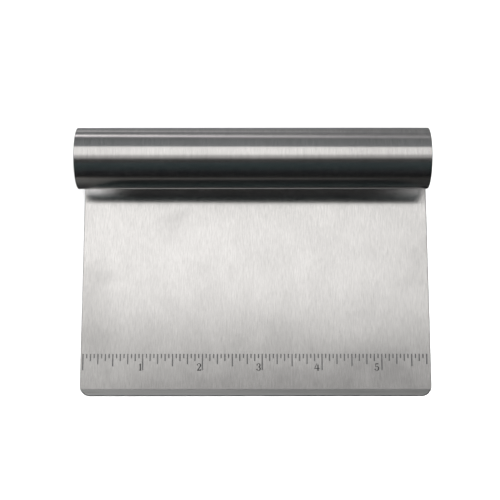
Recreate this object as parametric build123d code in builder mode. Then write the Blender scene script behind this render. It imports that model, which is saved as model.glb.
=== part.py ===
from build123d import *
from math import cos, radians, sin, sqrt
import os

# Bench scraper: a flat stainless blade with a tubular handle lying along its upper edge.
# Millimetres. The blade lies on its back on the XY plane: +X runs along the handle, +Y from the
# scraping edge towards the handle, +Z out of the blade's front face. The origin is under the
# middle of the whole object.

# Blade
BLADE_WIDTH = 148.8
BLADE_THICKNESS = 1.0
LOWER_CORNER_RADIUS = 4.2
UPPER_CORNER_RADIUS = 2.0
BLADE_SHIFT = 1.1  # the blade sits this far to the right of the handle's middle
EDGE_TO_HANDLE_AXIS = 100.0
LAP_PAST_HANDLE_AXIS = 3.5  # how far the blade runs on behind the handle

# Ground scraping edge
BEVEL_WIDTH = 2.9
BEVEL_ANGLE = 10.0
EDGE_BREAK = 0.2  # rounding of the blade's long edges

# Handle
HANDLE_DIAMETER = 26.0
HANDLE_LENGTH = 149.0
HANDLE_WALL = 1.0
HANDLE_RIM_BREAK = 0.3
CAP_FACE = 1.2
CAP_SKIRT_WALL = 0.8
CAP_DEPTH = 5.0
CAP_EDGE_BREAK = 0.15

# Weld behind the handle
BEAD_END_MARGIN = 1.5
BEAD_BACK_GAP = 0.15  # the bead starts this far above the blade's back face
BEAD_WEDGE_REACH = 1.5  # how far the bead runs into the gap between blade and handle
BEAD_LEG = 2.2
BEAD_CROWN = 0.25

# Etched inch scale
INCH = 25.4
DIVISIONS = 16
LAST_DIVISION = 92
SCALE_START = 1.0  # from the blade's left edge to the zero line
SCALE_TOP = 17.8  # from the scraping edge to the upper end of every line
LINE_WIDTH = 0.55
ETCH_DEPTH = 0.08
INCH_LINE = 6.95
HALF_LINE = 5.3
QUARTER_LINE = 4.4
EIGHTH_LINE = 3.05
SIXTEENTH_LINE = 1.85

# Figures of the scale
FIGURE_HEIGHT = 3.0
FIGURE_BASE = 10.7  # from the scraping edge to the foot of the figures
FIGURE_OFFSETS = (0.95, 1.45, 1.55, 2.2, 2.2)  # from each inch line to its figure's middle
OVERSHOOT = 0.1
HAIRLINE = 0.2
THICK_STROKE = 0.5
SERIF = 0.2
TERMINAL_RADIUS = 0.27

handle_radius = HANDLE_DIAMETER / 2
bore_radius = handle_radius - HANDLE_WALL
edge_y = -(EDGE_TO_HANDLE_AXIS + handle_radius) / 2
axis_y = edge_y + EDGE_TO_HANDLE_AXIS
axis_z = BLADE_THICKNESS + handle_radius
handle_x = -BLADE_SHIFT / 2
blade_x = BLADE_SHIFT / 2
blade_left = blade_x - BLADE_WIDTH / 2
blade_top_y = axis_y + LAP_PAST_HANDLE_AXIS
blade_height = blade_top_y - edge_y


def handle_surface_z(y):
    """Height of the handle's lower side above the blade's back face, at y."""
    return axis_z - sqrt(handle_radius**2 - (y - axis_y) ** 2)


# ---------------------------------------------------------------- figures of the scale


def bowl(width, height, opening):
    """A round stroke, heavy on the right and open on the left, standing on y = 0."""
    rx = width / 2
    ry = height / 2
    inner_rx = rx - (THICK_STROKE + HAIRLINE) / 2
    with BuildSketch() as shape:
        with Locations((0, ry)):
            Ellipse(rx, ry)
        with Locations(((HAIRLINE - THICK_STROKE) / 2, ry)):
            Ellipse(inner_rx, ry - HAIRLINE, mode=Mode.SUBTRACT)
        with Locations((-rx, ry)):
            Rectangle(width, opening, mode=Mode.SUBTRACT)
    return shape.sketch


def figure_one():
    flag_width = 0.5
    flag_drop = 0.55
    with BuildSketch() as figure:
        Rectangle(THICK_STROKE, FIGURE_HEIGHT, align=(Align.CENTER, Align.MIN))
        Rectangle(2.3 * THICK_STROKE, SERIF, align=(Align.CENTER, Align.MIN))
        with BuildLine():
            Polyline(
                (0, FIGURE_HEIGHT),
                (-flag_width, FIGURE_HEIGHT - flag_drop),
                (-flag_width, FIGURE_HEIGHT - flag_drop - SERIF),
                (0, FIGURE_HEIGHT - flag_drop),
                close=True,
            )
        make_face()
    return figure.sketch


def figure_two():
    width = 1.9
    bowl_height = 1.75
    bowl_base = FIGURE_HEIGHT + OVERSHOOT - bowl_height
    tail_top = bowl_base + 0.55
    base_height = 0.42
    with BuildSketch() as figure:
        with Locations((0, bowl_base)):
            add(bowl(width, bowl_height, 0.7))
        with Locations((-width / 2, bowl_base)):
            Rectangle(width / 2, 0.6, align=(Align.MIN, Align.MIN), mode=Mode.SUBTRACT)
        with BuildLine():
            Polyline(
                (-width / 2, 0),
                (width / 2 - THICK_STROKE, tail_top),
                (width / 2 - 0.07, tail_top),
                (-width / 2 + 0.45, 0),
                close=True,
            )
        make_face()
        with BuildLine():
            Polyline(
                (-width / 2, 0),
                (width / 2 - 0.1, 0),
                (width / 2, 0.75),
                (width / 2 - 0.14, 0.75),
                (width / 2 - 0.4, base_height),
                (-width / 2 + 0.3, base_height),
                close=True,
            )
        make_face()
        with Locations((-width / 2 + TERMINAL_RADIUS, bowl_base + bowl_height * 0.62)):
            Circle(TERMINAL_RADIUS)
    return figure.sketch


def figure_three():
    width = 1.9
    upper_width = 1.7
    lower_height = 1.75
    upper_height = FIGURE_HEIGHT + 2 * OVERSHOOT - lower_height + HAIRLINE
    upper_base = FIGURE_HEIGHT + OVERSHOOT - upper_height
    with BuildSketch() as figure:
        with Locations((0, -OVERSHOOT)):
            add(bowl(width, lower_height, 0.75))
        with Locations((0, upper_base)):
            add(bowl(upper_width, upper_height, 0.65))
        with Locations((-width / 2, upper_base - 0.35)):
            Rectangle(0.7, 0.95, align=(Align.MIN, Align.MIN), mode=Mode.SUBTRACT)
        with Locations(
            (-width / 2 + TERMINAL_RADIUS, 0.48),
            (-upper_width / 2 + TERMINAL_RADIUS, FIGURE_HEIGHT - 0.6),
        ):
            Circle(TERMINAL_RADIUS)
    return figure.sketch


def figure_four():
    stem_x = 0.45
    bar_base = 0.72
    bar_half = 1.15
    with BuildSketch() as figure:
        with Locations((stem_x, 0)):
            Rectangle(THICK_STROKE, 2.55, align=(Align.CENTER, Align.MIN))
            Rectangle(2 * THICK_STROKE, SERIF, align=(Align.CENTER, Align.MIN))
        with Locations((0, bar_base)):
            Rectangle(2 * bar_half, 0.3, align=(Align.CENTER, Align.MIN))
        with BuildLine():
            Polyline(
                (-bar_half, bar_base),
                (-0.15, FIGURE_HEIGHT),
                (0.15, FIGURE_HEIGHT),
                (-bar_half + 0.35, bar_base + 0.25),
                close=True,
            )
        make_face()
    return figure.sketch


def figure_five():
    width = 2.0
    bowl_height = 2.0
    flag_base = FIGURE_HEIGHT - 0.38
    stem_x = -0.62
    stem_base = 1.5
    with BuildSketch() as figure:
        with Locations((0, -OVERSHOOT)):
            add(bowl(width, bowl_height, 0.95))
        with Locations((stem_x, stem_base)):
            Rectangle(width, bowl_height, align=(Align.MAX, Align.CENTER), mode=Mode.SUBTRACT)
            Rectangle(HAIRLINE, FIGURE_HEIGHT - stem_base, align=(Align.MIN, Align.MIN))
        with BuildLine():
            Polyline(
                (stem_x, FIGURE_HEIGHT),
                (0.75, FIGURE_HEIGHT + 0.08),
                (0.62, flag_base),
                (stem_x, flag_base),
                close=True,
            )
        make_face()
        with Locations((-width / 2 + TERMINAL_RADIUS, 0.52)):
            Circle(TERMINAL_RADIUS)
    return figure.sketch


# ---------------------------------------------------------------- layout of the scale


def line_length(division):
    """Length of a scale line, by how round its division of the inch is."""
    if division % DIVISIONS == 0:
        return INCH_LINE
    if division % (DIVISIONS // 2) == 0:
        return HALF_LINE
    if division % (DIVISIONS // 4) == 0:
        return QUARTER_LINE
    if division % (DIVISIONS // 8) == 0:
        return EIGHTH_LINE
    return SIXTEENTH_LINE


def division_x(division):
    return blade_left + SCALE_START + division * INCH / DIVISIONS


with BuildSketch() as line_layout:
    for division in range(LAST_DIVISION + 1):
        with Locations((division_x(division), edge_y + SCALE_TOP)):
            Rectangle(LINE_WIDTH, line_length(division), align=(Align.CENTER, Align.MAX))

figures = (figure_one(), figure_two(), figure_three(), figure_four(), figure_five())
with BuildSketch() as figure_layout:
    for number, (figure, offset) in enumerate(zip(figures, FIGURE_OFFSETS), start=1):
        with Locations((division_x(number * DIVISIONS) - offset, edge_y + FIGURE_BASE)):
            add(figure)

etched_floor = Plane.XY.offset(BLADE_THICKNESS - ETCH_DEPTH)

with BuildPart() as scale_marks:
    with BuildSketch(etched_floor):
        add(line_layout.sketch)
    extrude(amount=ETCH_DEPTH)

with BuildPart() as scale_numerals:
    with BuildSketch(etched_floor):
        add(figure_layout.sketch)
    extrude(amount=ETCH_DEPTH)

# ---------------------------------------------------------------- blade

bevel_drop = BEVEL_WIDTH * sin(radians(BEVEL_ANGLE)) / cos(radians(BEVEL_ANGLE))

with BuildPart() as blade:
    with BuildSketch() as outline:
        with Locations((blade_x, edge_y)):
            Rectangle(BLADE_WIDTH, blade_height, align=(Align.CENTER, Align.MIN))
        fillet(outline.vertices().group_by(Axis.Y)[0], LOWER_CORNER_RADIUS)
        fillet(outline.vertices().group_by(Axis.Y)[-1], UPPER_CORNER_RADIUS)
    extrude(amount=BLADE_THICKNESS)
    with BuildSketch(Plane.YZ.offset(blade_left - 1)):
        with BuildLine():
            Polyline(
                (edge_y - BEVEL_WIDTH, BLADE_THICKNESS + bevel_drop),
                (edge_y - BEVEL_WIDTH, BLADE_THICKNESS - 2 * bevel_drop),
                (edge_y + BEVEL_WIDTH, BLADE_THICKNESS),
                (edge_y + BEVEL_WIDTH, BLADE_THICKNESS + bevel_drop),
                close=True,
            )
        make_face()
    extrude(amount=BLADE_WIDTH + 2, mode=Mode.SUBTRACT)
    back_edges = blade.faces().sort_by(Axis.Z)[0].edges()
    fillet(back_edges, EDGE_BREAK)
    front_face = blade.faces().filter_by(Axis.Z).sort_by(Axis.Z)[-1]
    bevel_face = blade.faces().filter_by(GeomType.PLANE).sort_by(Axis.Y)[1]
    fold = front_face.edges().filter_by(Axis.X).sort_by(Axis.Y)[0]
    front_edges = [
        edge
        for edge in front_face.edges() + bevel_face.edges()
        if (edge.center() - fold.center()).length > 0.01
    ]
    fillet(front_edges, EDGE_BREAK)
    with BuildSketch(etched_floor):
        add(line_layout.sketch)
        add(figure_layout.sketch)
    extrude(amount=2 * ETCH_DEPTH, mode=Mode.SUBTRACT)

# ---------------------------------------------------------------- handle

with BuildPart() as handle_tube:
    with BuildSketch(Plane.YZ.offset(handle_x - HANDLE_LENGTH / 2)):
        with Locations((axis_y, axis_z)):
            Circle(handle_radius)
            Circle(bore_radius, mode=Mode.SUBTRACT)
    extrude(amount=HANDLE_LENGTH)
    rims = handle_tube.edges().filter_by(GeomType.CIRCLE)
    fillet(rims.filter_by(lambda rim: rim.radius > bore_radius + 0.1), HANDLE_RIM_BREAK)


def end_cap(side):
    """A drawn cup, pressed into the handle with its face flush with the rim; side is -1 or +1."""
    face_plane = Plane(
        origin=(handle_x + side * HANDLE_LENGTH / 2, axis_y, axis_z),
        x_dir=(0, 1, 0),
        z_dir=(-side, 0, 0),
    )
    with BuildPart() as cap:
        with BuildSketch(face_plane):
            Circle(bore_radius)
        extrude(amount=CAP_DEPTH)
        with BuildSketch(face_plane.offset(CAP_FACE)):
            Circle(bore_radius - CAP_SKIRT_WALL)
        extrude(amount=CAP_DEPTH, mode=Mode.SUBTRACT)
        outer_rim = cap.edges().filter_by(GeomType.CIRCLE).sort_by(Axis.X)
        fillet(outer_rim[0] if side < 0 else outer_rim[-1], CAP_EDGE_BREAK)
    return cap.part


left_end_cap = end_cap(-1)
right_end_cap = end_cap(1)

# ---------------------------------------------------------------- weld

bead_left = blade_left + BEAD_END_MARGIN
bead_right = handle_x + HANDLE_LENGTH / 2 - BEAD_END_MARGIN
wedge_y = blade_top_y - BEAD_WEDGE_REACH
toe_y = blade_top_y + BEAD_LEG
toe = (toe_y, handle_surface_z(toe_y))
heel = (blade_top_y, BEAD_BACK_GAP)

with BuildPart() as weld_bead:
    with BuildSketch(Plane.YZ.offset(bead_left)):
        with BuildLine():
            Line((wedge_y, BLADE_THICKNESS), (blade_top_y, BLADE_THICKNESS))
            Line((blade_top_y, BLADE_THICKNESS), heel)
            SagittaArc(heel, toe, -BEAD_CROWN)
            RadiusArc(toe, (wedge_y, handle_surface_z(wedge_y)), handle_radius)
            Line((wedge_y, handle_surface_z(wedge_y)), (wedge_y, BLADE_THICKNESS))
        make_face()
    extrude(amount=bead_right - bead_left)

# ---------------------------------------------------------------- files

nodes = {
    "blade": blade.part,
    "handle_tube": handle_tube.part,
    "left_end_cap": left_end_cap,
    "right_end_cap": right_end_cap,
    "weld_bead": weld_bead.part,
    "scale_marks": scale_marks.part,
    "scale_numerals": scale_numerals.part,
}
os.makedirs("parts", exist_ok=True)
for label, part in nodes.items():
    part.label = label
    export_step(part, f"parts/{label}.step")
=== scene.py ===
"""Looks of the bench scraper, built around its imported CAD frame. Metres, in the row frame:
+X along the handle, +Y from the scraping edge to the handle, +Z out of the blade's front."""

import math

import bmesh
import bpy
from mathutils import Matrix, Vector


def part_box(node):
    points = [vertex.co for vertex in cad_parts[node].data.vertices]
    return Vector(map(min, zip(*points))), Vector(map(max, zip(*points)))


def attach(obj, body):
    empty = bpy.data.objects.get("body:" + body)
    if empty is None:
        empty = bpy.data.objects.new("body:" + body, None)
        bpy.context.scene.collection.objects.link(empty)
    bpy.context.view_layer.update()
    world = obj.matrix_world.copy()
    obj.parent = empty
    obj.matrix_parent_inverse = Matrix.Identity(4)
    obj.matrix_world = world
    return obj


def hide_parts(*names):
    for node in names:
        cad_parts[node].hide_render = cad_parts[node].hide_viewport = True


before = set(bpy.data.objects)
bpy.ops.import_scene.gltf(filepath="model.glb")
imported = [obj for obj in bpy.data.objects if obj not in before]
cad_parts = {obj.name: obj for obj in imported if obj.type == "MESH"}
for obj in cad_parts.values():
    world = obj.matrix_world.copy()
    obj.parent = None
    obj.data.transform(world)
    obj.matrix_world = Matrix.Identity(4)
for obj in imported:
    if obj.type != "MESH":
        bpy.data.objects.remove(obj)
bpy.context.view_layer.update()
MM = 0.001

# Blade
LOWER_CORNER_RADIUS = 4.2 * MM
UPPER_CORNER_RADIUS = 2.0 * MM
CORNER_STEPS = 14
BEVEL_WIDTH = 2.9 * MM
BEVEL_ANGLE = math.radians(10)
EDGE_BREAK = 0.38 * MM  # tumbled, so a little rounder than the design's 0.2 mm
EDGE_BREAK_STEPS = 4
EDGE_FOLD = math.radians(45)  # edges that fold by more than this are rounded
RIM_TILT = math.radians(17)  # faces that lean by more than this belong to the rounded rim,
EDGE_FACING = -0.8  # unless their normal's y is under this: then they are the scraping edge
BEVEL_FACING = -0.05  # the bevel's faces have a normal's y under this
RECESS_OPENING = 0.5 * MM  # how far the scale's cutter stands out of the blade's front
SAME_POINT = 0.001 * MM
SAME_HEIGHT = 0.01 * MM

# Handle and caps
HANDLE_RADIUS = 13.0 * MM
HANDLE_WALL = 1.0 * MM
RIM_BREAK = 0.3 * MM
RIM_BREAK_STEPS = 6
RIM_FACING = 0.3  # faces of the sleeve with a normal's x over this belong to its rims
CAP_FACE = 1.2 * MM
CAP_SKIRT_WALL = 0.8 * MM
CAP_DEPTH = 5.0 * MM
CAP_EDGE_BREAK = 0.15 * MM
CAP_EDGE_STEPS = 5
TURNS = 288  # facets round the handle

# Weld bead
BEAD_PITCH = 1.7 * MM
BEAD_STEP = 0.2 * MM
BEAD_CROWN = 0.22 * MM
BEAD_RIPPLE = 0.14 * MM
BEAD_ARC_STEPS = 10
BEAD_END_FADE = 0.8 * MM  # length over which the crown rises from each end
RIPPLE_BOW = 0.3  # how far a ripple's ends lie from its middle, in pitches
RIPPLE_FALL = 0.6  # power with which a ripple falls off along the bead

blade_lo, blade_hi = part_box("blade")
tube_lo, tube_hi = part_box("handle_tube")
bead_lo, bead_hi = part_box("weld_bead")
bore_radius = HANDLE_RADIUS - HANDLE_WALL
axis_y = tube_hi.y - HANDLE_RADIUS
axis_z = blade_hi.z + HANDLE_RADIUS


# ---------------------------------------------------------------- mesh helpers


def arc(centre, radius, start, end, steps):
    """Points of an arc round centre, from start to end in degrees, both ends included."""
    turns = [math.radians(start + (end - start) * i / steps) for i in range(steps + 1)]
    return [(centre[0] + radius * math.cos(a), centre[1] + radius * math.sin(a)) for a in turns]


def new_object(name, data):
    """An object with this data, in the scene."""
    made = bpy.data.objects.new(name, data)
    bpy.context.scene.collection.objects.link(made)
    return made


def mesh_from(bm, name):
    """A mesh from a bmesh, with its faces turned outwards."""
    bmesh.ops.recalc_face_normals(bm, faces=bm.faces)
    mesh = bpy.data.meshes.new(name)
    bm.to_mesh(mesh)
    bm.free()
    return mesh


def shade(piece, sharp_above):
    """Smooth shading with sharp edges above an angle in degrees, flat faces kept flat."""
    piece.data.shade_smooth()
    piece.data.set_sharp_from_angle(angle=math.radians(sharp_above))
    weighted = piece.modifiers.new("weighted_normals", "WEIGHTED_NORMAL")
    weighted.keep_sharp = True


def revolve(name, profile, closed):
    """Turns a profile of (x, radius) points about the handle's axis."""
    bm = bmesh.new()
    rings = []
    for x, radius in profile:
        if radius == 0:
            rings.append([bm.verts.new((x, axis_y, axis_z))])
            continue
        ring = []
        for i in range(TURNS):
            a = 2 * math.pi * i / TURNS
            ring.append(bm.verts.new((x, axis_y + radius * math.sin(a), axis_z + radius * math.cos(a))))
        rings.append(ring)
    pairs = list(zip(rings, rings[1:]))
    if closed:
        pairs.append((rings[-1], rings[0]))
    for one, two in pairs:
        for i in range(TURNS):
            j = (i + 1) % TURNS
            corners = [one[i % len(one)], one[j % len(one)], two[j % len(two)], two[i % len(two)]]
            bm.faces.new(list(dict.fromkeys(corners)))
    return new_object(name, mesh_from(bm, name))


# ---------------------------------------------------------------- node helpers

NOISE_LOW = 0.3  # nearly all of a noise's values lie between this and NOISE_HIGH
NOISE_MIDDLE = 0.5
NOISE_HIGH = 0.7


class Nodes:
    """Short ways to add and join a node tree's nodes."""

    def __init__(self, tree):
        self.tree = tree

    def add(self, kind, **settings):
        node = self.tree.nodes.new(kind)
        for key, value in settings.items():
            setattr(node, key, value)
        return node

    def put(self, socket, value):
        """Joins another socket to this one, or sets its value."""
        if isinstance(value, bpy.types.NodeSocket):
            self.tree.links.new(value, socket)
        else:
            socket.default_value = value

    def math(self, operation, *values):
        node = self.add("ShaderNodeMath", operation=operation)
        for socket, value in zip(node.inputs, values):
            self.put(socket, value)
        return node.outputs[0]

    def vector(self, operation, *values):
        node = self.add("ShaderNodeVectorMath", operation=operation)
        for socket, value in zip(node.inputs, values):
            self.put(socket, value)
        return node.outputs["Value" if operation == "LENGTH" else "Vector"]

    def scale(self, vector, factor):
        """A vector or colour multiplied by a number."""
        node = self.add("ShaderNodeVectorMath", operation="SCALE")
        self.put(node.inputs[0], vector)
        self.put(node.inputs["Scale"], factor)
        return node.outputs[0]

    def combine(self, x, y, z):
        node = self.add("ShaderNodeCombineXYZ")
        for socket, value in zip(node.inputs, (x, y, z)):
            self.put(socket, value)
        return node.outputs[0]

    def separate(self, vector):
        node = self.add("ShaderNodeSeparateXYZ")
        self.put(node.inputs[0], vector)
        return node.outputs

    def place(self, stretch=(1, 1, 1), shift=(0, 0, 0)):
        """The row frame's position in metres, shifted and then stretched."""
        mapping = self.add("ShaderNodeMapping", vector_type="POINT")
        self.put(mapping.inputs["Vector"], self.add("ShaderNodeTexCoord").outputs["Object"])
        mapping.inputs["Location"].default_value = [s * k for s, k in zip(shift, stretch)]
        mapping.inputs["Scale"].default_value = stretch
        return mapping.outputs[0]

    def noise(self, vector, detail=2.0, roughness=0.5, distortion=0.0):
        node = self.add("ShaderNodeTexNoise")
        self.put(node.inputs["Vector"], vector)
        node.inputs["Scale"].default_value = 1.0
        node.inputs["Detail"].default_value = detail
        node.inputs["Roughness"].default_value = roughness
        node.inputs["Distortion"].default_value = distortion
        return node.outputs["Fac"]

    def mottle(self, cells, **settings):
        """Noise with so many cells a metre along X, Y and Z."""
        return self.noise(self.place(cells), **settings)

    def span(self, value, from_low, from_high, to_low, to_high, smooth=False):
        node = self.add("ShaderNodeMapRange", interpolation_type="SMOOTHSTEP" if smooth else "LINEAR")
        for socket, number in zip(node.inputs[:5], (value, from_low, from_high, to_low, to_high)):
            self.put(socket, number)
        return node.outputs[0]

    def vary(self, noise, low, high):
        """A noise, spread from low to high."""
        return self.span(noise, NOISE_LOW, NOISE_HIGH, low, high)

    def ramp(self, value, stops):
        node = self.add("ShaderNodeValToRGB")
        node.color_ramp.interpolation = "LINEAR"
        elements = node.color_ramp.elements
        while len(elements) > 1:
            elements.remove(elements[-1])
        for i, (position, colour) in enumerate(stops):
            element = elements[0] if i == 0 else elements.new(position)
            element.position = position
            element.color = (*colour, 1)
        self.put(node.inputs[0], value)
        return node.outputs[0]

    def bump(self, height, distance):
        node = self.add("ShaderNodeBump")
        node.inputs["Distance"].default_value = distance
        node.inputs["Strength"].default_value = 1.0
        self.put(node.inputs["Height"], height)
        return node.outputs[0]


def colour_stops(table, low, high):
    """A ramp's stops from a table of places between low and high and their colours."""
    return [((place - low) / (high - low), colour) for place, colour in table]


def grey_stops(table, low, high, full=1.0):
    """The same from a table of places and numbers, as shares of full."""
    return colour_stops([(place, (value / full,) * 3) for place, value in table], low, high)


def new_material(name):
    material = bpy.data.materials.new(name)
    material.use_nodes = True
    tree = material.node_tree
    return material, Nodes(tree), tree.nodes["Principled BSDF"]


# ---------------------------------------------------------------- brushed steel

STEEL = (0.62, 0.613, 0.61)
BLADE_STEEL = (0.685, 0.678, 0.674)
# The ground edge's steel is painted lighter than the blade's: painted light
EDGE_STEEL_PAINTED_LIGHTER = (0.77, 0.765, 0.76)
ALONG_X = (1, 0, 0)
ALONG_Y = (0, 1, 0)

ACROSS_GRAIN = 1000  # the streaks' cells a metre are more than this across the grain
COARSE_ACROSS = 0.45  # the coarse streaks' cells, in proportion to the fine ones', across the grain
COARSE_ALONG = 1.6
FINE_SHARE = 0.8  # of the streaks; the rest is coarse
CLOUD_LOW = 0.945  # how bright the mottling is at its darkest and lightest
CLOUD_HIGH = 1.05
ROUGHNESS_CHANGE = 0.02
STREAK_HEIGHT = 0.003 * MM
SCRATCH_FINENESS = 2.5  # the finest scratches' cells, in proportion to the streaks'
SCRATCH_SLOPE = 0.12  # how far they tip the surface across the grain
BRUSHED_ANISOTROPY = 0.83
PATCH_REACH = 1.2  # where a patch ends, in proportion to its half width and half height

# Painted light and shade on the blade's front: soft ovals where its reflection is painted a little
# darker or brighter, with x, y, half width, half height and the change at the middle.
BLADE_PAINTED_LIGHT_AND_SHADE = (
    (-0.068, -0.018, 0.011, 0.028, -0.15),
    (-0.064, -0.048, 0.022, 0.014, 0.14),
    (0.073, 0.004, 0.010, 0.018, -0.12),
    (0.040, -0.030, 0.018, 0.012, 0.06),
    (0.012, -0.036, 0.012, 0.018, -0.04),
    (-0.034, 0.023, 0.018, 0.011, -0.09),
    (0.012, -0.056, 0.090, 0.014, -0.13),
    (-0.038, 0.000, 0.010, 0.012, 0.03),
    (0.050, 0.006, 0.009, 0.005, -0.03),
    (-0.012, -0.008, 0.014, 0.010, 0.03),
    (0.0748, 0.036, 0.004, 0.010, -0.55),
    (0.047, -0.0425, 0.034, 0.011, -0.11),
    (-0.002, 0.027, 0.013, 0.012, -0.07),
    (0.038, 0.031, 0.014, 0.007, 0.07),
)
# Painted highlights on the ground edge: brighter towards the left, and a thin line along its burr
EDGE_PAINTED_HIGHLIGHTS = (
    (-0.076, -0.055, 0.090, 0.020, 0.21),
    (0.000, -0.0557, 0.200, 0.0004, 0.26),
)


def soft_patches(nodes, cloud, patches):
    """A factor that is a little above or below one on patches, whose outlines the cloud makes ragged."""
    position = nodes.place()
    total = 1.0
    for x, y, half_width, half_height, change in patches:
        offset = nodes.vector("SUBTRACT", position, (x, y, 0))
        scaled = nodes.vector("MULTIPLY", offset, (1 / half_width, 1 / half_height, 0))
        unevenness = nodes.math("SUBTRACT", cloud, NOISE_MIDDLE)
        ragged = nodes.math("ADD", nodes.vector("LENGTH", scaled), unevenness)
        total = nodes.math("ADD", total, nodes.span(ragged, 0.0, PATCH_REACH, change, 0.0, smooth=True))
    return total


def brushed_steel(name, steel, grain, clouds, streak_depth, roughness, across, patches=()):
    """Stainless steel ground along one direction. grain and clouds are the streaks' and the
    mottling's cells a metre, and across is the direction over the grain, in which the reflections
    spread."""
    material, nodes, shader = new_material(name)
    coarse_grain = [g * COARSE_ACROSS if g > ACROSS_GRAIN else g * COARSE_ALONG for g in grain]
    fine = nodes.mottle(grain, detail=3.0, roughness=0.65)
    coarse = nodes.mottle(coarse_grain, detail=1.0)
    fine_part = nodes.math("MULTIPLY", fine, FINE_SHARE)
    streaks = nodes.math("ADD", fine_part, nodes.math("MULTIPLY", coarse, 1 - FINE_SHARE))
    cloud = nodes.mottle(clouds, detail=4.0, roughness=0.55, distortion=0.4)
    streak_factor = nodes.vary(streaks, 1 - streak_depth, 1 + streak_depth)
    factor = nodes.math("MULTIPLY", streak_factor, nodes.vary(cloud, CLOUD_LOW, CLOUD_HIGH))
    # patches of painted light and shade, where they are given
    if patches:
        factor = nodes.math("MULTIPLY", factor, soft_patches(nodes, cloud, patches))
    rough = nodes.vary(fine, roughness - ROUGHNESS_CHANGE, roughness + ROUGHNESS_CHANGE)
    scratches = nodes.mottle([g * SCRATCH_FINENESS for g in grain], detail=1.0)
    slope = nodes.math("MULTIPLY", nodes.math("SUBTRACT", scratches, NOISE_MIDDLE), SCRATCH_SLOPE)
    scratched = nodes.combine(*[slope if a else 0.0 for a in across])
    tilted = nodes.vector("ADD", nodes.bump(streaks, STREAK_HEIGHT), scratched)
    nodes.put(shader.inputs["Base Color"], nodes.scale(steel, factor))
    nodes.put(shader.inputs["Roughness"], rough)
    nodes.put(shader.inputs["Normal"], nodes.vector("NORMALIZE", tilted))
    nodes.put(shader.inputs["Tangent"], nodes.combine(*across))
    shader.inputs["Metallic"].default_value = 1.0
    shader.inputs["Anisotropic"].default_value = BRUSHED_ANISOTROPY
    return material


blade_steel = brushed_steel(
    "blade_brushed_steel",
    BLADE_STEEL,
    grain=(3400, 260, 260),
    clouds=(75, 60, 75),
    streak_depth=0.122,
    roughness=0.225,
    across=ALONG_X,
    # painted light and shade on the blade's front
    patches=BLADE_PAINTED_LIGHT_AND_SHADE,
)
edge_steel = brushed_steel(
    "ground_edge_steel",
    EDGE_STEEL_PAINTED_LIGHTER,
    grain=(60, 3000, 3000),
    clouds=(60, 60, 60),
    streak_depth=0.08,
    roughness=0.43,
    across=ALONG_Y,
    # painted highlights on the ground edge
    patches=EDGE_PAINTED_HIGHLIGHTS,
)
handle_steel = brushed_steel(
    "handle_brushed_steel",
    STEEL,
    grain=(3000, 160, 160),
    clouds=(30, 30, 30),
    streak_depth=0.1,
    roughness=0.225,
    across=ALONG_X,
)


# ---------------------------------------------------------------- unevenness in the shading alone, and painted shade

# The flat blade is shaded as if it dipped a little towards the handle.
DIP_FROM = 16 * MM  # y at which the dip starts
DIP_TO = 24 * MM
LEFT_DIP = 0.009  # its slope from there on, at the blade's left side
RIGHT_DIP = 0.023

# The straight tube is shaded as if the ends of its underside were drawn in, so that they reflect
# the windows.
UNDERSIDE_DEPTH = 2.9 * MM  # below the handle's axis
SAG_FADE = 12 * MM  # above that, over which the slope fades
SAG_SHARE = ((0.0, 1.0), (0.18, 0.9), (0.32, 0.5), (0.7, 0.4), (1.0, 0.0))  # of the slope there
LEFT_SAG = 0.78  # the slope at the blade's side
LEFT_SAG_LENGTH = 20 * MM
RIGHT_SAG = 0.44
RIGHT_SAG_LENGTH = 27 * MM

# A band along the handle's lower front is painted darker than the rest: painted shade.
UNDERSIDE_SHADE_SHARE = 0.86  # of the brightness, lost at the blade's right side
UNDERSIDE_SHADE_FROM = (-5.0 * MM, -3.0 * MM)  # heights from the handle's axis between which the band fades in
UNDERSIDE_SHADE_TO = (0.9 * MM, 3.2 * MM)  # and out again


def source(socket):
    """The socket that this one takes its value from."""
    return socket.links[0].from_socket


def lean_normal(nodes, shader, lean):
    """Tips the surface's normal by a small vector."""
    leaning = nodes.vector("ADD", source(shader.inputs["Normal"]), lean)
    nodes.put(shader.inputs["Normal"], nodes.vector("NORMALIZE", leaning))


def dip_blade(nodes, shader):
    """Slopes the shading of the blade's front towards the handle, more so on the right."""
    position = nodes.separate(nodes.place())
    most = nodes.span(position["X"], blade_lo.x, blade_hi.x, LEFT_DIP, RIGHT_DIP)
    slope = nodes.math("MULTIPLY", nodes.span(position["Y"], DIP_FROM, DIP_TO, 0.0, 1.0), most)
    lean_normal(nodes, shader, nodes.combine(0.0, slope, 0.0))


def sag_underside(nodes, shader):
    """Turns the shading of the handle's underside outwards near the blade's two sides."""
    position = nodes.separate(nodes.place())
    edge = axis_z - UNDERSIDE_DEPTH
    depth = nodes.span(position["Z"], edge, edge + SAG_FADE, 0.0, 1.0)
    under = nodes.ramp(depth, grey_stops(SAG_SHARE, 0, 1))
    left = nodes.span(position["X"], blade_lo.x, blade_lo.x + LEFT_SAG_LENGTH, -LEFT_SAG, 0.0)
    right = nodes.span(position["X"], blade_hi.x - RIGHT_SAG_LENGTH, blade_hi.x, 0.0, RIGHT_SAG)
    slope = nodes.math("MULTIPLY", under, nodes.math("ADD", left, right))
    lean_normal(nodes, shader, nodes.combine(slope, 0.0, 0.0))


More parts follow.
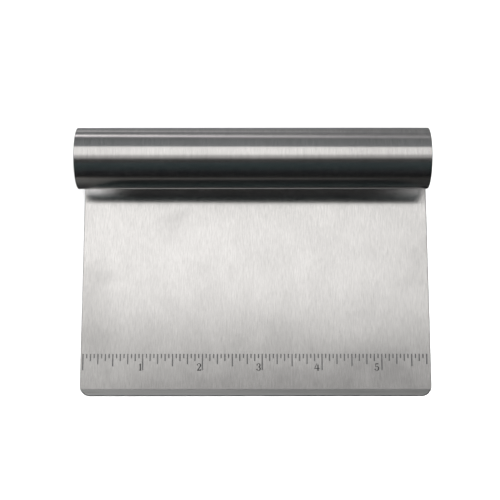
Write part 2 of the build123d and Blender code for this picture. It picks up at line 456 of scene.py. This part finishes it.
def shade_underside(nodes, shader):
    """Paints shade on the handle's lower front, darker towards the right."""
    position = nodes.separate(nodes.place(shift=(0, 0, -axis_z)))
    low = nodes.span(position["Z"], *UNDERSIDE_SHADE_FROM, 0.0, 1.0, smooth=True)
    high = nodes.span(position["Z"], *UNDERSIDE_SHADE_TO, 1.0, 0.0, smooth=True)
    right = nodes.span(position["X"], blade_lo.x, blade_hi.x, 0.0, UNDERSIDE_SHADE_SHARE)
    loss = nodes.math("MULTIPLY", nodes.math("MULTIPLY", low, high), right)
    # the handle's colour is darkened there: painted shade
    shaded_colour = nodes.scale(source(shader.inputs["Base Color"]), nodes.math("SUBTRACT", 1.0, loss))
    nodes.put(shader.inputs["Base Color"], shaded_colour)


for material, mark in (
    (blade_steel, dip_blade),
    (handle_steel, sag_underside),
    (handle_steel, shade_underside),
):
    mark(Nodes(material.node_tree), material.node_tree.nodes["Principled BSDF"])


# ---------------------------------------------------------------- other materials

# The rounded edges' steel, painted dark: painted shade
RIM_PAINTED_SHADE = (0.16, 0.157, 0.157)
CAP_ANISOTROPY = 0.8
QUARTER_TURN = 0.25  # of a whole one, by which the caps' anisotropy is turned
TURNING_LINES = 3500  # cells a metre, outwards from the cap's middle
TURNING_DRIFT = 0.6  # cells for each radian round it
OXIDE_WEAR_SHARE = 0.6  # of the oxide's mottling; the rest is broad patches
OXIDE_DARKEST = 0.35  # mottling at which the oxide is darkest, and lightest
OXIDE_LIGHTEST = 0.72


def shaded_rim_metal():
    """The blade's and the handle's rounded edges, tumbled smooth, their colour darkened as painted shade,
    with small worn places.
    """
    material, nodes, shader = new_material("rim_painted_shade_steel")
    wear = nodes.mottle((180, 180, 180), detail=4.0, roughness=0.6)
    nodes.put(shader.inputs["Base Color"], nodes.scale(RIM_PAINTED_SHADE, nodes.span(wear, 0.35, 0.7, 0.75, 1.3)))
    nodes.put(shader.inputs["Roughness"], nodes.vary(wear, 0.26, 0.36))
    shader.inputs["Metallic"].default_value = 1.0
    return material


def turned_steel():
    """The caps' faces, with fine concentric turning lines."""
    material, nodes, shader = new_material("turned_cap_steel")
    position = nodes.separate(nodes.place(shift=(0, -axis_y, -axis_z)))
    y = position["Y"]
    z = position["Z"]
    squares = nodes.math("ADD", nodes.math("MULTIPLY", y, y), nodes.math("MULTIPLY", z, z))
    outwards = nodes.math("MULTIPLY", nodes.math("SQRT", squares), TURNING_LINES)
    around = nodes.math("MULTIPLY", nodes.math("ARCTAN2", y, z), TURNING_DRIFT)
    lines = nodes.noise(nodes.combine(outwards, around, 0.0), detail=3.0)
    cloud = nodes.mottle((120, 120, 120), detail=3.0)
    factor = nodes.math("MULTIPLY", nodes.vary(lines, 0.93, 1.05), nodes.vary(cloud, 0.95, 1.03))
    nodes.put(shader.inputs["Base Color"], nodes.scale(STEEL, factor))
    nodes.put(shader.inputs["Roughness"], nodes.vary(lines, 0.27, 0.33))
    nodes.put(shader.inputs["Normal"], nodes.bump(lines, 0.004 * MM))
    nodes.put(shader.inputs["Tangent"], nodes.add("ShaderNodeTangent", axis="X").outputs[0])
    shader.inputs["Metallic"].default_value = 1.0
    shader.inputs["Anisotropic"].default_value = CAP_ANISOTROPY
    shader.inputs["Anisotropic Rotation"].default_value = QUARTER_TURN
    return material


def weld_metal():
    """Fusion weld, duller than the sheet, straw and blue from its heat."""
    material, nodes, shader = new_material("weld_bead_metal")
    heat = nodes.mottle((260, 500, 500), detail=3.0, roughness=0.6)
    grey = (0.46, 0.44, 0.42)
    straw = (0.50, 0.43, 0.33)
    brown = (0.42, 0.34, 0.27)
    blue = (0.30, 0.32, 0.38)
    colour = nodes.ramp(heat, [(0.3, grey), (0.48, straw), (0.6, brown), (0.72, blue)])
    grains = nodes.mottle((2600, 2600, 2600), detail=4.0)
    nodes.put(shader.inputs["Base Color"], colour)
    nodes.put(shader.inputs["Roughness"], nodes.vary(grains, 0.3, 0.46))
    nodes.put(shader.inputs["Normal"], nodes.bump(grains, 0.02 * MM))
    shader.inputs["Metallic"].default_value = 1.0
    return material


def etched_oxide(name, dark, light):
    """The dark oxide that fills the etched scale, thin and worn in places."""
    material, nodes, shader = new_material(name)
    wear = nodes.mottle((900, 700, 900), detail=4.0, roughness=0.6)
    patches = nodes.mottle((60, 60, 60), detail=2.0)
    worn = nodes.math("MULTIPLY", wear, OXIDE_WEAR_SHARE)
    mixed = nodes.math("ADD", worn, nodes.math("MULTIPLY", patches, 1 - OXIDE_WEAR_SHARE))
    colour = nodes.ramp(mixed, [(OXIDE_DARKEST, dark), (OXIDE_LIGHTEST, light)])
    nodes.put(shader.inputs["Base Color"], colour)
    nodes.put(shader.inputs["Roughness"], nodes.vary(wear, 0.42, 0.6))
    nodes.put(shader.inputs["Normal"], nodes.bump(wear, 0.01 * MM))
    shader.inputs["Metallic"].default_value = 0.75
    return material


# the rims' steel, darkened as painted shade
rim_steel = shaded_rim_metal()
cap_steel = turned_steel()


# ---------------------------------------------------------------- blade


def blade_outline():
    """The blade's plan, anticlockwise from the lower left corner."""
    left, right, low, top = blade_lo.x, blade_hi.x, blade_lo.y, blade_hi.y
    r, s = LOWER_CORNER_RADIUS, UPPER_CORNER_RADIUS
    return (
        arc((left + r, low + r), r, 180, 270, CORNER_STEPS)
        + arc((right - r, low + r), r, 270, 360, CORNER_STEPS)
        + arc((right - s, top - s), s, 0, 90, CORNER_STEPS)
        + arc((left + s, top - s), s, 90, 180, CORNER_STEPS)
    )


def scale_cutter():
    """The scale's lines and figures, raised through the blade's front, to cut their recesses."""
    bm = bmesh.new()
    for node in ("scale_marks", "scale_numerals"):
        bm.from_mesh(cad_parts[node].data)
    bmesh.ops.remove_doubles(bm, verts=bm.verts, dist=SAME_POINT)
    for vertex in bm.verts:
        if vertex.co.z > blade_hi.z - SAME_HEIGHT:
            vertex.co.z += RECESS_OPENING
    return new_object("scale_cutter", mesh_from(bm, "scale_cutter"))


def plain_sheet():
    """The blade as a solid sheet, with its bevel ground and its edges broken, but no scale."""
    bm = bmesh.new()
    back = bm.faces.new([bm.verts.new((x, y, blade_lo.z)) for x, y in blade_outline()])
    raised = bmesh.ops.extrude_face_region(bm, geom=[back], use_keep_orig=True)
    for item in raised["geom"]:
        if isinstance(item, bmesh.types.BMVert):
            item.co.z = blade_hi.z
    bmesh.ops.recalc_face_normals(bm, faces=bm.faces)
    bmesh.ops.bisect_plane(
        bm,
        geom=bm.verts[:] + bm.edges[:] + bm.faces[:],
        plane_co=(0, blade_lo.y + BEVEL_WIDTH, blade_hi.z),
        plane_no=(0, -math.sin(BEVEL_ANGLE), math.cos(BEVEL_ANGLE)),
        clear_outer=True,
    )
    bmesh.ops.edgeloop_fill(bm, edges=[e for e in bm.edges if e.is_boundary])
    bmesh.ops.recalc_face_normals(bm, faces=bm.faces)
    bmesh.ops.bevel(
        bm,
        geom=[e for e in bm.edges if len(e.link_faces) == 2 and e.calc_face_angle() > EDGE_FOLD],
        offset=EDGE_BREAK,
        offset_type="OFFSET",
        segments=EDGE_BREAK_STEPS,
        profile=0.5,
        affect="EDGES",
    )
    return new_object("blade_whole", mesh_from(bm, "blade_whole"))


def build_blade():
    """The blade's sheet with the scale's recesses; its material slots are sheet, bevel and rim."""
    whole = plain_sheet()
    cutter = scale_cutter()
    boolean = whole.modifiers.new("recesses", "BOOLEAN")
    boolean.operation = "DIFFERENCE"
    boolean.solver = "EXACT"
    boolean.object = cutter
    bpy.context.view_layer.update()
    depsgraph = bpy.context.evaluated_depsgraph_get()
    mesh = bpy.data.meshes.new_from_object(whole.evaluated_get(depsgraph))
    bpy.data.objects.remove(whole)
    bpy.data.objects.remove(cutter)
    mesh.name = "blade_sheet"
    mesh.materials.clear()
    for material in (blade_steel, edge_steel, rim_steel):
        mesh.materials.append(material)
    for face in mesh.polygons:
        if abs(face.normal.z) < math.cos(RIM_TILT) and face.normal.y > EDGE_FACING:
            face.material_index = 2
        elif face.center.y < blade_lo.y + BEVEL_WIDTH and face.normal.y < BEVEL_FACING:
            face.material_index = 1
    piece = new_object("blade_sheet", mesh)
    shade(piece, sharp_above=8)
    return piece


blade = build_blade()
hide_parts("blade")


# ---------------------------------------------------------------- handle and caps


def build_tube():
    """The handle's sleeve; its material slots are sleeve and rim."""
    left, right = tube_lo.x, tube_hi.x
    outer, rim = HANDLE_RADIUS, RIM_BREAK
    profile = (
        [(left, bore_radius)]
        + arc((left + rim, outer - rim), rim, 180, 90, RIM_BREAK_STEPS)
        + arc((right - rim, outer - rim), rim, 90, 0, RIM_BREAK_STEPS)
        + [(right, bore_radius)]
    )
    piece = revolve("handle_sleeve", profile, closed=True)
    piece.data.materials.append(handle_steel)
    piece.data.materials.append(rim_steel)
    for face in piece.data.polygons:
        if abs(face.normal.x) > RIM_FACING:
            face.material_index = 1
    shade(piece, sharp_above=30)
    return piece


def build_cap(node, side):
    """A drawn cup with its face flush with the handle's rim; side is -1 or +1."""
    face_x = tube_lo.x if side < 0 else tube_hi.x
    r, b = bore_radius, CAP_EDGE_BREAK
    section = (
        [(0, 0)]
        + arc((b, r - b), b, 180, 90, CAP_EDGE_STEPS)
        + [
            (CAP_DEPTH, r),
            (CAP_DEPTH, r - CAP_SKIRT_WALL),
            (CAP_FACE, r - CAP_SKIRT_WALL),
            (CAP_FACE, 0),
        ]
    )
    piece = revolve(node + "_cup", [(face_x - side * x, radius) for x, radius in section], closed=False)
    piece.data.materials.append(cap_steel)
    shade(piece, sharp_above=30)
    return piece


tube = build_tube()
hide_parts("handle_tube")
for node, side in (("left_end_cap", -1), ("right_end_cap", 1)):
    cap = build_cap(node, side)
    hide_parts(node)
    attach(cap, "root")


# ---------------------------------------------------------------- weld


def handle_underside(y):
    """Height of the handle's lower side at y."""
    return axis_z - math.sqrt(HANDLE_RADIUS**2 - (y - axis_y) ** 2)


def bead_section(x):
    """The bead's cross-section at x, as (y, z) points from the wedge round the crown."""
    end = min(x - bead_lo.x, bead_hi.x - x)
    fade = math.sqrt(min(1.0, end / BEAD_END_FADE))
    heel = Vector((blade_hi.y, bead_lo.z))
    toe = Vector((bead_hi.y, handle_underside(bead_hi.y)))
    across = Vector((toe.y - heel.y, heel.x - toe.x)).normalized()
    points = [(bead_lo.y, blade_hi.z), (blade_hi.y, blade_hi.z)]
    for i in range(BEAD_ARC_STEPS + 1):
        t = i / BEAD_ARC_STEPS
        wave = (x / BEAD_PITCH + RIPPLE_BOW * (2 * t - 1) ** 2) % 1.0
        ripple = BEAD_RIPPLE * (1 - wave) ** RIPPLE_FALL
        swell = (BEAD_CROWN - BEAD_RIPPLE + ripple) * fade * math.sin(math.pi * t)
        points.append(tuple(heel.lerp(toe, t) + across * swell))
    points.append((bead_lo.y, handle_underside(bead_lo.y)))
    return points


def build_bead():
    """The rippled bead behind the handle, laid from section to section."""
    bm = bmesh.new()
    steps = round((bead_hi.x - bead_lo.x) / BEAD_STEP)
    rings = []
    for i in range(steps + 1):
        x = bead_lo.x + (bead_hi.x - bead_lo.x) * i / steps
        rings.append([bm.verts.new((x, y, z)) for y, z in bead_section(x)])
    for one, two in zip(rings, rings[1:]):
        for i in range(len(one)):
            j = (i + 1) % len(one)
            bm.faces.new((one[i], one[j], two[j], two[i]))
    bm.faces.new(rings[0])
    bm.faces.new(rings[-1])
    piece = new_object("weld_seam", mesh_from(bm, "weld_seam"))
    piece.data.materials.append(weld_metal())
    shade(piece, sharp_above=40)
    return piece


bead = build_bead()
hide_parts("weld_bead")

for piece in (blade, tube, bead):
    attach(piece, "root")


# ---------------------------------------------------------------- etched scale

for node, dark, light in (
    ("scale_marks", (0.19, 0.19, 0.195), (0.39, 0.39, 0.39)),
    ("scale_numerals", (0.045, 0.045, 0.05), (0.12, 0.12, 0.12)),
):
    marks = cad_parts[node]
    marks.data.materials.clear()
    marks.data.materials.append(etched_oxide(node + "_oxide", dark, light))


# ---------------------------------------------------------------- surroundings

# Light of the surroundings by direction: degrees from straight up, positive towards the handle's
# side, and the light from there.
SURROUNDINGS = (
    (-180, (0.05, 0.05, 0.05)),
    (-104, (0.03, 0.03, 0.029)),
    (-95, (0.03, 0.029, 0.028)),
    (-89, (0.010, 0.010, 0.010)),
    (-66, (0.004, 0.005, 0.007)),
    (-55, (0.004, 0.014, 0.014)),
    (-33, (0.011, 0.028, 0.030)),
    (-22, (0.09, 0.1, 0.1)),
    (36, (0.235, 0.243, 0.25)),
    (57, (0.21, 0.22, 0.22)),
    (66, (0.155, 0.16, 0.165)),
    (85, (0.22, 0.22, 0.22)),
    (95, (0.22, 0.225, 0.23)),
    (115, (0.26, 0.26, 0.26)),
    (130, (0.27, 0.275, 0.28)),
    (180, (0.25, 0.25, 0.25)),
)
# How many times that the surroundings are as bright, by direction X
SURROUNDINGS_SIDES = (
    (-1.0, 2.6),
    (-0.58, 2.3),
    (-0.42, 1.0),
    (0.0, 1.0),
    (0.14, 0.83),
    (0.42, 0.83),
    (0.58, 2.3),
    (1.0, 2.6),
)
# Two narrow strips of light behind the handle, in degrees as above
STRIPS = (
    (68, (0.0, 0.0, 0.0)),
    (72, (0.64, 0.61, 0.615)),
    (77, (0.64, 0.61, 0.615)),
    (81, (0.0, 0.0, 0.0)),
    (98, (0.0, 0.0, 0.0)),
    (103, (0.17, 0.167, 0.167)),
    (107, (0.17, 0.167, 0.167)),
    (112, (0.0, 0.0, 0.0)),
)
STRIP_TILT = 0.62  # radians by which the strips turn from left to right, per unit of direction
# The light low in front of the scraping edge, in degrees as above
FRONT = (
    (-150, (0.0, 0.0, 0.0)),
    (-104, (0.024, 0.024, 0.023)),
    (-95, (0.036, 0.034, 0.032)),
    (-89, (0.0, 0.0, 0.0)),
)
# How many times that the strips and the front light are as bright, by direction X
LEFTWARDS = (
    (-1.0, 6.0),
    (-0.5, 6.0),
    (-0.3, 3.6),
    (-0.15, 1.9),
    (0.0, 1.0),
    (0.15, 0.5),
    (0.3, 0.2),
    (1.0, 0.0),
)
# Bright windows far to the left and right: the share of their light in degrees as above, and
# their light by direction X
WINDOWS = (
    (-94, 0.0),
    (-88, 1.0),
    (-22, 1.0),
    (-6, 0.4),
    (20, 0.35),
    (80, 0.35),
    (95, 0.1),
    (110, 0.0),
)
WINDOW_SIDES = (
    (-1.0, 0.42),
    (-0.94, 0.63),
    (-0.87, 2.1),
    (-0.78, 2.1),
    (-0.63, 0.0),
    (0.54, 0.0),
    (0.64, 0.42),
    (0.76, 1.26),
    (0.87, 1.26),
    (0.94, 0.63),
    (1.0, 0.42),
)


def light_surroundings():
    """Lights the world from the tables above."""
    world = bpy.data.worlds.new("studio_surroundings")
    bpy.context.scene.world = world
    world.use_nodes = True
    nodes = Nodes(world.node_tree)
    direction = nodes.separate(nodes.add("ShaderNodeTexCoord").outputs["Generated"])
    side = nodes.span(direction["X"], -1.0, 1.0, 0.0, 1.0)
    angle = nodes.math("ARCTAN2", direction["Y"], direction["Z"])
    tilted = nodes.math("ADD", angle, nodes.math("MULTIPLY", direction["X"], STRIP_TILT))

    def turned(radians, stops):
        """The light at so many radians from straight up."""
        return nodes.ramp(nodes.span(radians, -math.pi, math.pi, 0.0, 1.0), stops)

    def sided(light, table):
        """A light times what a table says by direction X."""
        full = max(value for place, value in table)
        share = nodes.ramp(side, grey_stops(table, -1, 1, full))
        return nodes.scale(nodes.vector("MULTIPLY", light, share), full)

    room = turned(angle, colour_stops(SURROUNDINGS, -180, 180))
    strips = turned(tilted, colour_stops(STRIPS, -180, 180))
    front = turned(angle, colour_stops(FRONT, -180, 180))
    windows = turned(angle, grey_stops(WINDOWS, -180, 180))
    uneven = sided(nodes.vector("ADD", strips, front), LEFTWARDS)
    lights = nodes.vector("ADD", sided(windows, WINDOW_SIDES), uneven)
    total = nodes.vector("ADD", sided(room, SURROUNDINGS_SIDES), lights)
    nodes.put(world.node_tree.nodes["Background"].inputs["Color"], total)


# ---------------------------------------------------------------- studio

SOFTBOX_HEIGHT = 0.525
SOFTBOX_FAR = 0.324  # its far edge at x = 0; the edge runs askew, further off on the left
SOFTBOX_SKEW = 0.14
SOFTBOX_NEAR = -0.26
SOFTBOX_LEFT = -0.7
SOFTBOX_RIGHT = 0.33
SOFTBOX_COLOUR = (1.0, 0.985, 0.965)
SOFTBOX_LIGHT = 1.22
SOFTBOX_DIM_FROM = -0.02  # the softbox is dimmer from here to its right end
SOFTBOX_DIM_SHARE = 0.76
# Share of the softbox's light by y: even over its far part, fading towards the front
SOFTBOX_FADE = (
    (-0.26, 0.02),
    (-0.16, 0.025),
    (-0.125, 0.035),
    (-0.108, 0.07),
    (-0.09, 0.2),
    (-0.07, 0.34),
    (-0.04, 0.42),
    (-0.02, 0.44),
    (-0.005, 0.475),
    (0.006, 0.54),
    (0.017, 0.63),
    (0.028, 0.73),
    (0.038, 0.84),
    (0.05, 0.94),
    (0.075, 1.0),
)
FLOOR_SIZE = 9.0
FLOOR_HEIGHT = -0.02 * MM
FLOOR_COLOUR = (0.9, 0.9, 0.9)
FLOOR_LIGHT = 10.0
FLOOR_LIGHT_SPREAD = math.radians(100)
DOME_RADIUS = 4.0
DOME_COLOUR = (1.0, 1.0, 1.0)
DOME_LIGHT = 1.15
CAMERA_SENSOR = 36  # mm, as is the lens
CAMERA_LENS = 75.49
CAMERA_PLACE = (-0.00042, -0.0724, 0.4477)
CAMERA_TURN = (0.174, 0.0032, -0.0003)
CAMERA_REACH = (0.01, 20)


def plane(name, corners):
    """A flat face that belongs to the studio."""
    bm = bmesh.new()
    bm.faces.new([bm.verts.new(corner) for corner in corners])
    mesh = bpy.data.meshes.new(name)
    bm.to_mesh(mesh)
    bm.free()
    piece = new_object(name, mesh)
    return piece


def emitter(name, colour):
    """A material that only gives light."""
    material = bpy.data.materials.new(name)
    material.use_nodes = True
    tree = material.node_tree
    tree.nodes.remove(tree.nodes["Principled BSDF"])
    nodes = Nodes(tree)
    emission = nodes.add("ShaderNodeEmission")
    emission.inputs["Color"].default_value = (*colour, 1)
    nodes.put(tree.nodes["Material Output"].inputs["Surface"], emission.outputs[0])
    return material, nodes, emission


def build_softbox():
    """A softbox overhead that shows only in reflections and light."""
    z = SOFTBOX_HEIGHT
    box = plane(
        "softbox",
        (
            (SOFTBOX_LEFT, SOFTBOX_NEAR, z),
            (SOFTBOX_LEFT, SOFTBOX_FAR - SOFTBOX_SKEW * SOFTBOX_LEFT, z),
            (SOFTBOX_RIGHT, SOFTBOX_FAR - SOFTBOX_SKEW * SOFTBOX_RIGHT, z),
            (SOFTBOX_RIGHT, SOFTBOX_NEAR, z),
        ),
    )
    material, nodes, emission = emitter("softbox_cloth", SOFTBOX_COLOUR)
    position = nodes.separate(nodes.place())
    share = nodes.span(position["Y"], SOFTBOX_NEAR, SOFTBOX_FAR, 0.0, 1.0)
    fade = nodes.ramp(share, grey_stops(SOFTBOX_FADE, SOFTBOX_NEAR, SOFTBOX_FAR))
    dimmest = SOFTBOX_LIGHT * SOFTBOX_DIM_SHARE
    dimming = nodes.span(position["X"], SOFTBOX_DIM_FROM, SOFTBOX_RIGHT, SOFTBOX_LIGHT, dimmest)
    nodes.put(emission.inputs["Strength"], nodes.math("MULTIPLY", fade, dimming))
    box.data.materials.append(material)
    box.visible_camera = False


def build_floor():
    """A pale floor that only the camera sees, with its own soft light from above."""
    half = FLOOR_SIZE / 2
    z = FLOOR_HEIGHT
    floor = plane("floor", ((-half, -half, z), (half, -half, z), (half, half, z), (-half, half, z)))
    material, nodes, shader = new_material("pale_floor")
    grain = nodes.mottle((40, 40, 40), detail=2.0)
    nodes.put(shader.inputs["Base Color"], nodes.scale(FLOOR_COLOUR, nodes.vary(grain, 0.99, 1.0)))
    shader.inputs["Roughness"].default_value = 0.9
    shader.inputs["Specular IOR Level"].default_value = 0.0
    floor.data.materials.append(material)
    floor.visible_glossy = False
    floor.visible_diffuse = False
    lit = bpy.data.collections.new("floor_only")
    lit.objects.link(floor)
    sun = bpy.data.lights.new("floor_light", "SUN")
    sun.energy = FLOOR_LIGHT
    sun.angle = FLOOR_LIGHT_SPREAD
    new_object("floor_light", sun).light_linking.receiver_collection = lit


def build_backdrop():
    """A pale dome round the studio that only the camera sees."""
    bm = bmesh.new()
    bmesh.ops.create_icosphere(bm, subdivisions=4, radius=DOME_RADIUS)
    mesh = bpy.data.meshes.new("backdrop")
    bm.to_mesh(mesh)
    bm.free()
    dome = new_object("backdrop", mesh)
    material, nodes, emission = emitter("pale_backdrop", DOME_COLOUR)
    emission.inputs["Strength"].default_value = DOME_LIGHT
    dome.data.materials.append(material)
    dome.visible_glossy = False
    dome.visible_diffuse = False
    dome.visible_shadow = False
    dome.visible_transmission = False


def build_camera():
    """The camera, high above the blade's front, looking down and a little towards the handle."""
    data = bpy.data.cameras.new("camera")
    data.sensor_width = CAMERA_SENSOR
    data.lens = CAMERA_LENS
    data.clip_start, data.clip_end = CAMERA_REACH
    camera = new_object("camera", data)
    camera.location = CAMERA_PLACE
    camera.rotation_euler = CAMERA_TURN
    bpy.context.scene.camera = camera


light_surroundings()
build_softbox()
build_floor()
build_backdrop()
build_camera()
bpy.context.scene.view_settings.view_transform = "Standard"
